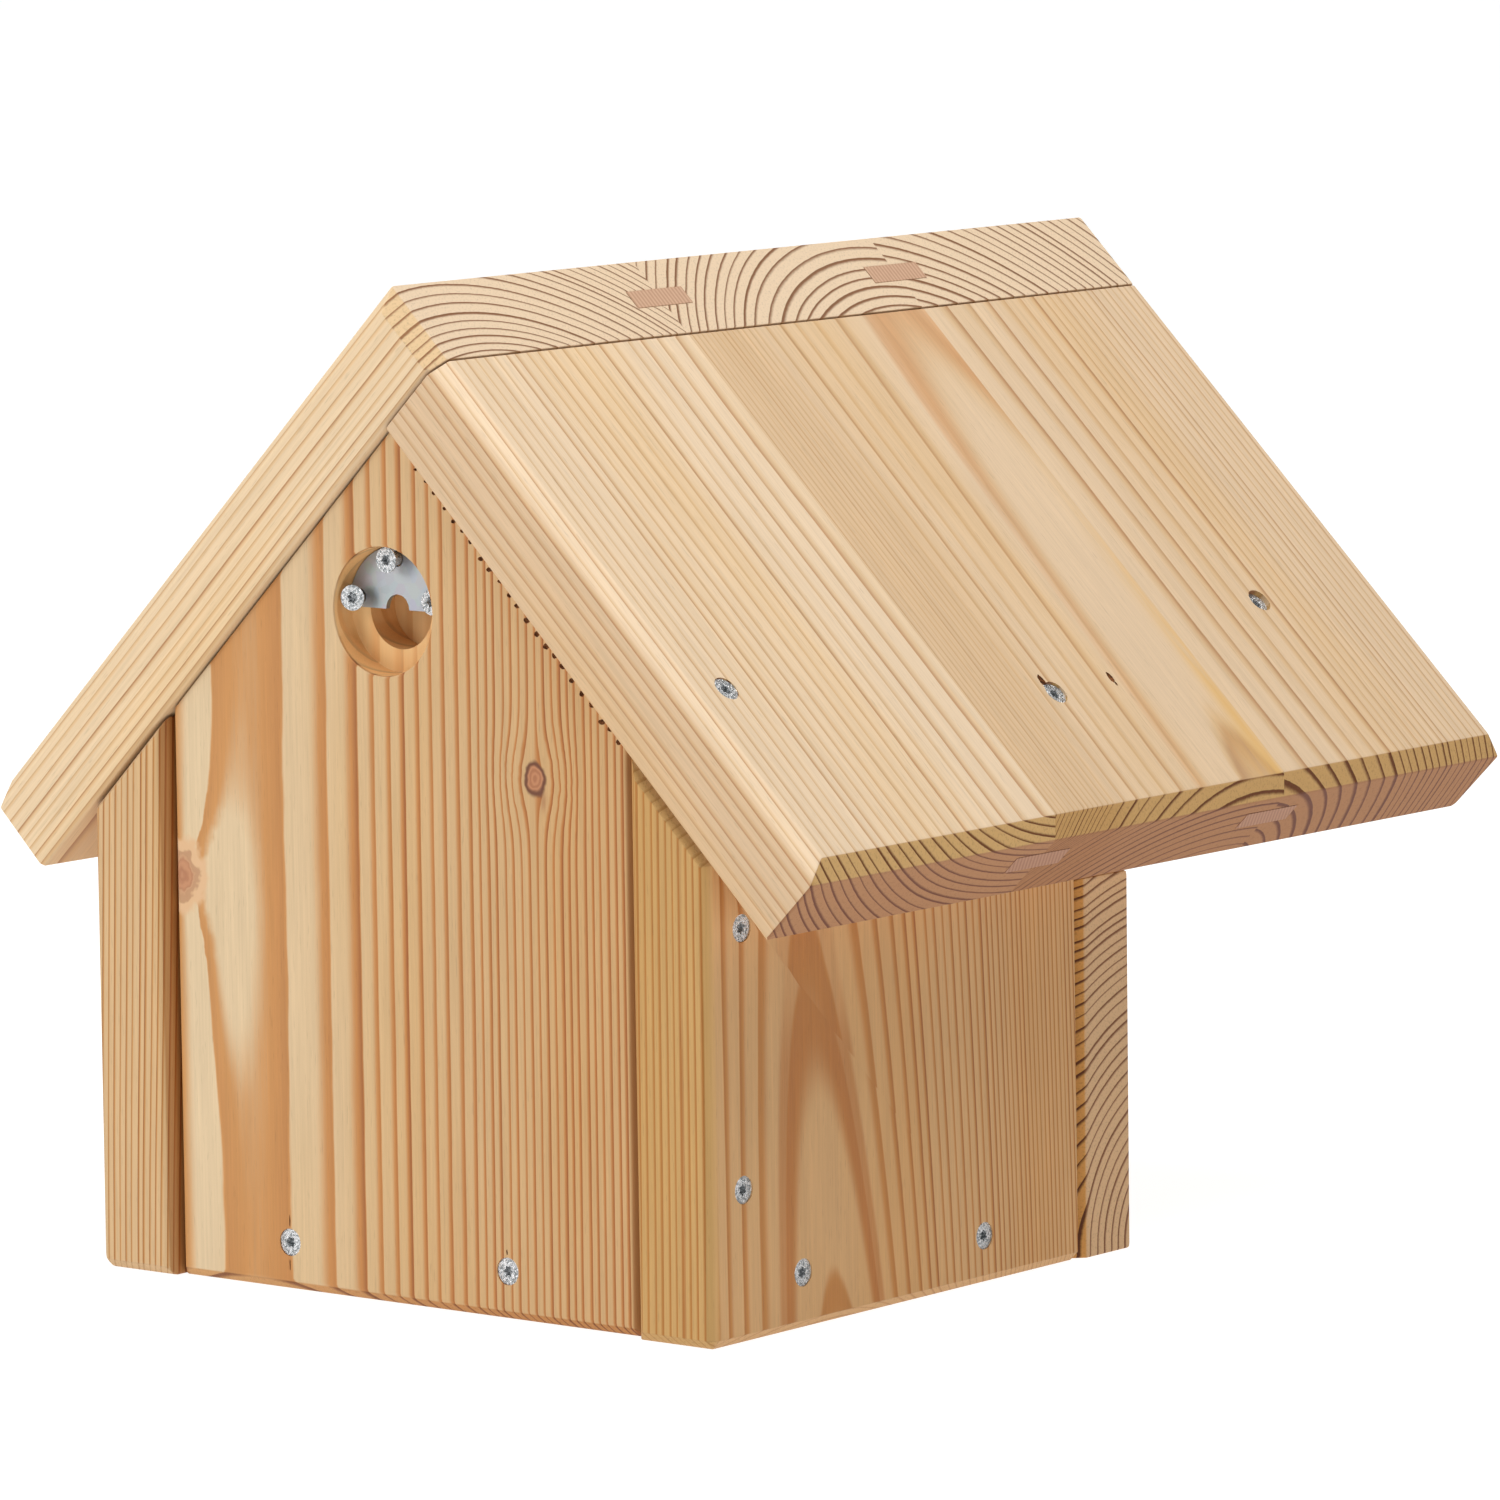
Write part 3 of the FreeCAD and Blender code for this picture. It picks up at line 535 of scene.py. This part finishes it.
def plate_material():
    """Galvanised sheet: satin, with a faint spangle and a fine grit."""
    shader = Shader("galvanised")
    scaled = shader.scaled(shader.place())
    spangle = shader.node("ShaderNodeTexVoronoi", "Color", {"Vector": scaled, "Scale": 0.35})
    grit = shader.noise(scaled, 5.0, 3.0, 0.7)
    base = shader.blend(0.05, colour(173, 177, 181), spangle)
    base = shader.blend(shader.times(grit, 0.3), base, colour(136, 140, 144))
    shader.put(shader.surface.inputs["Base Color"], base)
    shader.surface.inputs["Metallic"].default_value = 0.85
    shader.put(shader.surface.inputs["Roughness"], shader.math("MULTIPLY_ADD", grit, 0.2, 0.42))
    shader.bump(grit, 0.2, 0.00006)
    return shader.material


# --- pieces ------------------------------------------------------------------------------------

def runs_along(edge, direction):
    return abs((edge.verts[0].co - edge.verts[1].co).normalized().dot(direction)) > 0.99


def softened(node, radius, material, flush=(), gaps=()):
    """A copy of a CAD node with its sharp edges rounded.

    Edges at a y in flush meet a neighbour that was planed with them, so they stay sharp. So do the
    rear wall's edges through its thickness, which pass close to a screw bore. A gap
    (normal, distance of the face along it, width) draws a face back and opens the joint there.
    """
    mesh = bmesh.new()
    mesh.from_mesh(frame["nodes"][node].data)
    bmesh.ops.remove_doubles(mesh, verts=mesh.verts, dist=1e-6)
    bmesh.ops.dissolve_limit(mesh, angle_limit=math.radians(0.5), verts=mesh.verts, edges=mesh.edges)
    sharp = [edge for edge in mesh.edges
             if edge.is_manifold and edge.calc_face_angle(0.0) > SHARP_EDGE
             and edge.calc_length() > 2 * radius
             and not (node == "rear_wall" and runs_along(edge, NORTH))
             and not any(all(abs(vert.co.y - y) < 1e-5 for vert in edge.verts) for y in flush)]
    moves = [(vert, normal * width) for normal, distance, width in gaps for vert in mesh.verts
             if abs(normal.dot(vert.co) - distance) < 1e-5]
    for vert, move in moves:
        vert.co -= move
    bmesh.ops.bevel(mesh, geom=sharp, offset=radius, segments=2, profile=0.6, affect="EDGES",
                    clamp_overlap=True)
    data = bpy.data.meshes.new(f"{node}_soft")
    mesh.to_mesh(data)
    mesh.free()
    data.materials.append(material)
    piece = bpy.data.objects.new(f"{node}_soft", data)
    bpy.context.scene.collection.objects.link(piece)
    return piece


def fit_in(piece, node):
    """Shades a finished piece and puts it in the place of its CAD node."""
    shade_by_angle(piece.data)
    keep_flats = piece.modifiers.new("normals", "WEIGHTED_NORMAL")
    keep_flats.keep_sharp = True
    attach(piece, "root")
    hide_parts(node)


def shade_by_angle(data):
    """Smooth shading that stops at every edge sharper than SHADING_EDGE."""
    mesh = bmesh.new()
    mesh.from_mesh(data)
    for face in mesh.faces:
        face.smooth = True
    for edge in mesh.edges:
        edge.smooth = edge.calc_face_angle(0.0) < SHADING_EDGE
    mesh.to_mesh(data)
    mesh.free()


def tear(piece, tears, material):
    """Cuts small rough hollows. A tear is (middle, three axes, half sizes along them)."""
    chance = random.Random(11)
    mesh = bmesh.new()
    for middle, axes, sizes in tears:
        for vert in bmesh.ops.create_icosphere(mesh, subdivisions=2, radius=1.0)["verts"]:
            parts = [part * size * chance.uniform(0.8, 1.15) for part, size in zip(vert.co, sizes)]
            vert.co = middle + sum((axis * part for axis, part in zip(axes, parts)), Vector())
    bmesh.ops.recalc_face_normals(mesh, faces=mesh.faces)
    data = bpy.data.meshes.new("hollows")
    mesh.to_mesh(data)
    mesh.free()
    data.materials.append(material)
    hollows = bpy.data.objects.new("hollows", data)
    bpy.context.scene.collection.objects.link(hollows)
    cut = piece.modifiers.new("hollows", "BOOLEAN")
    cut.operation = "DIFFERENCE"
    cut.solver = "EXACT"
    cut.use_self = True
    cut.material_mode = "TRANSFER"
    cut.object = hollows
    result = piece.evaluated_get(bpy.context.evaluated_depsgraph_get())
    piece.data = bpy.data.meshes.new_from_object(result)
    piece.modifiers.clear()
    bpy.data.objects.remove(hollows)


def chips_under_roof():
    """Chips that the saw broke out of the rear wall along its right slope."""
    chance = random.Random(3)
    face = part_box("rear_wall")[0].y
    chips = []
    count, first, spacing = 23, 9.0, 3.15
    for number in range(count):
        across = (first + spacing * number + chance.uniform(-0.5, 0.5)) * MM
        down = chance.uniform(1.6, 2.6) * MM
        middle = Vector((across, face, APEX - across - down))
        grow = 0.6 + 0.4 * min(1.0, number / 12)
        high = grow * chance.uniform(0.6, 0.9) * MM
        wide = grow * chance.uniform(0.9, 1.25) * MM
        chips.append((middle, WALL_AXES["rear_wall"], (high, wide, 0.9 * MM)))
    return chips


def checks_at_screws():
    """Short splits above and below the screws in the rear wall."""
    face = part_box("rear_wall")[0].y
    places = ((-41.5, 19.4, 1.8), (-41.7, 7.2, 1.6), (36.4, 18.8, 0.9), (36.6, 6.9, 2.6))
    return [(Vector((across * MM, face, up * MM)), WALL_AXES["rear_wall"],
             (length * MM, 0.22 * MM, 0.8 * MM)) for across, up, length in places]


def roof_hollows():
    """A splinter torn out beside the middle roof screw, and a small dead knot near it."""
    places = (
        (161.0, -17.6, (2.9, 1.2, 1.6)),
        (163.2, -17.9, (1.9, 1.0, 1.2)),
        (163.1, 11.5, (1.9, 0.9, 1.0)),
        (165.5, 11.9, (0.8, 0.4, 0.6)),
    )
    axes = (RIGHT_SLOPE, NORTH, INTO_RIGHT)
    hollows = []
    for down, along_ridge, sizes in places:
        level = down * MM * HALF_ROOT
        middle = Vector((level, along_ridge * MM, cad_box[1].z - level))
        hollows.append((middle, axes, tuple(size * MM for size in sizes)))
    return hollows


SLOTS = {entry["node"]: entry["material_slot"] for entry in frame["record"]["subparts"]}


def wall_gaps():
    """The faces of each wall that are drawn back from their neighbours."""
    top = APEX * HALF_ROOT
    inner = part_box("rear_wall")[1].x
    right_top = (-INTO_RIGHT, top, SLOPE_GAP)
    left_top = (-INTO_LEFT, top, SLOPE_GAP)
    return {
        "rear_wall": ((-INTO_RIGHT, top, REAR_GAP), (-INTO_LEFT, top, REAR_GAP),
                      (EAST, inner, SIDE_GAP), (-EAST, inner, SIDE_GAP)),
        "side_wall_right": (right_top,),
        "side_wall_left": (left_top,),
        "front_gable_board": (right_top, left_top),
    }


def make_walls(torn):
    gaps = wall_gaps()
    for node, axes in WALL_AXES.items():
        material = larch(f"{node}_larch", node, axes, CUTS[node], TONES[WALL_TONES[node]])
        piece = softened(node, WALL_ROUNDING, material, gaps=gaps.get(node, ()))
        if node == "rear_wall":
            tear(piece, chips_under_roof() + checks_at_screws(), torn)
        fit_in(piece, node)


def make_roof(torn):
    panel_end = cad_box[1].y
    under_ridge = (-RIGHT_SLOPE, APEX * HALF_ROOT, RIDGE_GAP)
    sides = {"left": (LEFT_SLOPE, INTO_LEFT, ()), "right": (RIGHT_SLOPE, INTO_RIGHT, (under_ridge,))}
    for side, (slope, inward, gap) in sides.items():
        for number in (1, 2, 3):
            node = f"roof_{side}_stave_{number}"
            axes = (slope, NORTH, inward)
            material = larch(f"{node}_larch", node, axes, CUTS[node], TONES[f"roof_{side}"])
            low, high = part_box(node)
            joints = [y for y in (low.y, high.y) if abs(y) < panel_end - MM]
            piece = softened(node, ROOF_ROUNDING, material, joints, gap)
            if node == "roof_right_stave_2":
                tear(piece, roof_hollows(), torn)
            fit_in(piece, node)


def dress(node, material):
    """Puts a material on a CAD node that keeps its own shape."""
    data = frame["nodes"][node].data
    data.materials.clear()
    data.materials.append(material)


def make_metal_and_tongues():
    zinc = zinc_material()
    plate = plate_material()
    tongues = {
        "left": tongue_material("tongue_left", colour(214, 178, 148), colour(176, 130, 100)),
        "right": tongue_material("tongue_right", colour(178, 132, 104), colour(140, 96, 70)),
    }
    for node, slot in SLOTS.items():
        if slot == "zinc_screws":
            dress(node, zinc)
        elif slot == "tongue_larch":
            dress(node, tongues["left" if "left" in node else "right"])
        elif slot == "galvanised_plate":
            dress(node, plate)


# --- studio ------------------------------------------------------------------------------------

CAMERA_AZIMUTH = 38.583
CAMERA_ELEVATION = 7.136
CAMERA_ROLL = -0.748
CAMERA_DISTANCE = 2.5583
CAMERA_TARGET = Vector((0.0, -0.0041, 0.1364))
SENSOR_WIDTH = 36.0
FOCAL_RATIO = 6.01679
FLOOR_HALF_SIZE = 400.0


def view_direction(azimuth, elevation):
    """Unit vector from the object towards a viewer; azimuth 0 is on the wall side."""
    side = math.radians(azimuth)
    height = math.radians(elevation)
    flat = math.cos(height)
    return Vector((math.sin(side) * flat, -math.cos(side) * flat, math.sin(height)))


def make_camera():
    back = view_direction(CAMERA_AZIMUTH, CAMERA_ELEVATION)
    level = UP.cross(back).normalized()
    upright = back.cross(level)
    roll = math.radians(CAMERA_ROLL)
    right = level * math.cos(roll) + upright * math.sin(roll)
    top = upright * math.cos(roll) - level * math.sin(roll)
    data = bpy.data.cameras.new("camera")
    data.sensor_width = SENSOR_WIDTH
    data.lens = SENSOR_WIDTH * FOCAL_RATIO
    data.clip_end = 1000.0
    camera = bpy.data.objects.new("camera", data)
    turn = Matrix((right, top, back)).transposed().to_4x4()
    camera.matrix_world = Matrix.Translation(CAMERA_TARGET + back * CAMERA_DISTANCE) @ turn
    bpy.context.scene.collection.objects.link(camera)
    bpy.context.scene.camera = camera


def make_floor():
    shader = Shader("floor")
    shader.surface.inputs["Base Color"].default_value = (0.3, 0.3, 0.3, 1)
    shader.surface.inputs["Roughness"].default_value = 1.0
    shader.surface.inputs["Specular IOR Level"].default_value = 0.0
    shader.surface.inputs["Emission Color"].default_value = (1, 1, 1, 1)
    shader.surface.inputs["Emission Strength"].default_value = 0.93
    data = bpy.data.meshes.new("floor")
    size = FLOOR_HALF_SIZE
    corners = [(-size, -size, 0), (size, -size, 0), (size, size, 0), (-size, size, 0)]
    data.from_pydata(corners, [], [(0, 1, 2, 3)])
    data.materials.append(shader.material)
    floor = bpy.data.objects.new("floor", data)
    floor.location.z = -0.0002
    bpy.context.scene.collection.objects.link(floor)


def make_light(name, direction, distance, size, power):
    data = bpy.data.lights.new(name, "AREA")
    data.shape = "SQUARE"
    data.size = size
    data.energy = power
    light = bpy.data.objects.new(name, data)
    centre = Vector((0, 0, 0.12))
    light.location = centre + direction.normalized() * distance
    light.rotation_euler = direction.to_track_quat("Z", "Y").to_euler()
    bpy.context.scene.collection.objects.link(light)


def make_studio():
    world = bpy.data.worlds.new("studio")
    world.use_nodes = True
    tree = world.node_tree
    background = tree.nodes["Background"]
    direction = tree.nodes.new("ShaderNodeTexCoord").outputs["Generated"]
    toward = tree.nodes.new("ShaderNodeVectorMath")
    toward.operation = "DOT_PRODUCT"
    toward.inputs[1].default_value = (0.62, 0.78, 0.1)
    tree.links.new(direction, toward.inputs[0])
    level = tree.nodes.new("ShaderNodeMapRange")
    level.inputs["From Min"].default_value = -1.0
    level.inputs["From Max"].default_value = 1.0
    level.inputs["To Min"].default_value = 0.38
    level.inputs["To Max"].default_value = 0.13
    tree.links.new(toward.outputs["Value"], level.inputs["Value"])
    tree.links.new(level.outputs[0], background.inputs["Strength"])
    background.inputs["Color"].default_value = (1, 1, 1, 1)
    bpy.context.scene.world = world
    make_light("overhead", Vector((0.22, -0.12, 1.0)), 2.4, 1.5, 52.0)
    make_light("key", Vector((-0.55, -0.8, 0.35)), 2.6, 1.2, 22.0)
    bpy.context.scene.view_settings.view_transform = "Standard"


torn_and_shaded_larch = torn_and_shaded_material()
make_walls(torn_and_shaded_larch)
make_roof(torn_and_shaded_larch)
make_metal_and_tongues()
make_camera()
make_floor()
make_studio()
